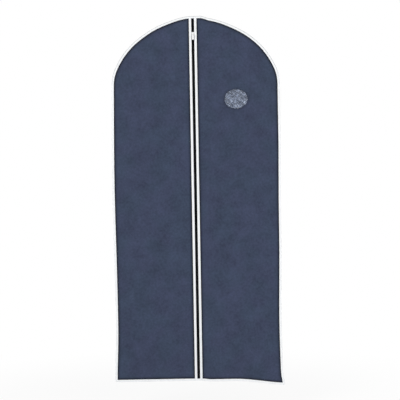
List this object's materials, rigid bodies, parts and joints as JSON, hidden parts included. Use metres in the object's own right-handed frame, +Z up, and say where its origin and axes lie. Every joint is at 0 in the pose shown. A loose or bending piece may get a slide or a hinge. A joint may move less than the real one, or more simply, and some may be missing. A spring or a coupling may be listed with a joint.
{
  "type": "garment bag",
  "caption": "Hanging zip-front garment bag: arched fabric cover with bound edges, full-length zip, round clear window and a hook opening in the crown.",
  "frame": {"origin": "middle of the hook opening in the crown, level with the bag's top edge", "axes": "+X to the viewer's right across the front, +Y from the zipped front towards the back, +Z up along the zip"},
  "size_m": [0.6, 0.0365, 1.31],
  "materials": {
    "panel_fabric": "matte non-woven, fine embossed dots",
    "fold_tape": "matte woven tape, folded and stitched",
    "zip_tape": "matte herringbone weave",
    "zip_coil": "satin nylon",
    "zip_stop": "black satin enamel",
    "window_film": "clear flexible film",
    "slider_enamel": "gloss enamel"
  },
  "bodies": {
    "bag": {"back_panel": "panel_fabric", "edge_tape": "fold_tape", "hook_tape_front": "fold_tape", "hook_tape_back": "fold_tape", "bottom_stop": "zip_stop"},
    "left_front": {"front_panel_left": "panel_fabric", "zip_edging_left": "fold_tape", "zip_tape_left": "zip_tape", "zip_coil_left": "zip_coil", "top_stop_left": "zip_stop"},
    "right_front": {"front_panel_right": "panel_fabric", "window_film": "window_film", "zip_edging_right": "fold_tape", "zip_tape_right": "zip_tape", "zip_coil_right": "zip_coil", "top_stop_right": "zip_stop"},
    "slider": {"slider_body": "slider_enamel"},
    "pull": {"pull_tab": "slider_enamel"}
  },
  "joints": [
    {"name": "slider_travel", "type": "slide", "parent": "bag", "child": "slider", "axis": [0, 0, 1], "range_m": [-1.21, 0]},
    {"name": "pull_swing", "type": "hinge", "parent": "slider", "child": "pull", "pos_m": [0, -0.01103, -0.0622], "axis": [-1, 0, 0], "range_deg": [0, 175]},
    {"name": "left_front_open", "type": "hinge", "parent": "bag", "child": "left_front", "pos_m": [-0.292, -0.007, -0.65], "axis": [0, 0, -1], "range_deg": [0, 60], "deforming": ["front_panel_left", "zip_edging_left", "zip_tape_left", "zip_coil_left", "top_stop_left"]},
    {"name": "right_front_open", "type": "hinge", "parent": "bag", "child": "right_front", "pos_m": [0.292, -0.007, -0.65], "axis": [0, 0, 1], "range_deg": [0, 60], "deforming": ["front_panel_right", "zip_edging_right", "zip_tape_right", "zip_coil_right", "top_stop_right", "window_film"]}
  ],
  "couplings": [
    {"joint": "left_front_open", "follows": "slider_travel", "rad_per_m": -0.8654},
    {"joint": "right_front_open", "follows": "slider_travel", "rad_per_m": -0.8654}
  ]
}
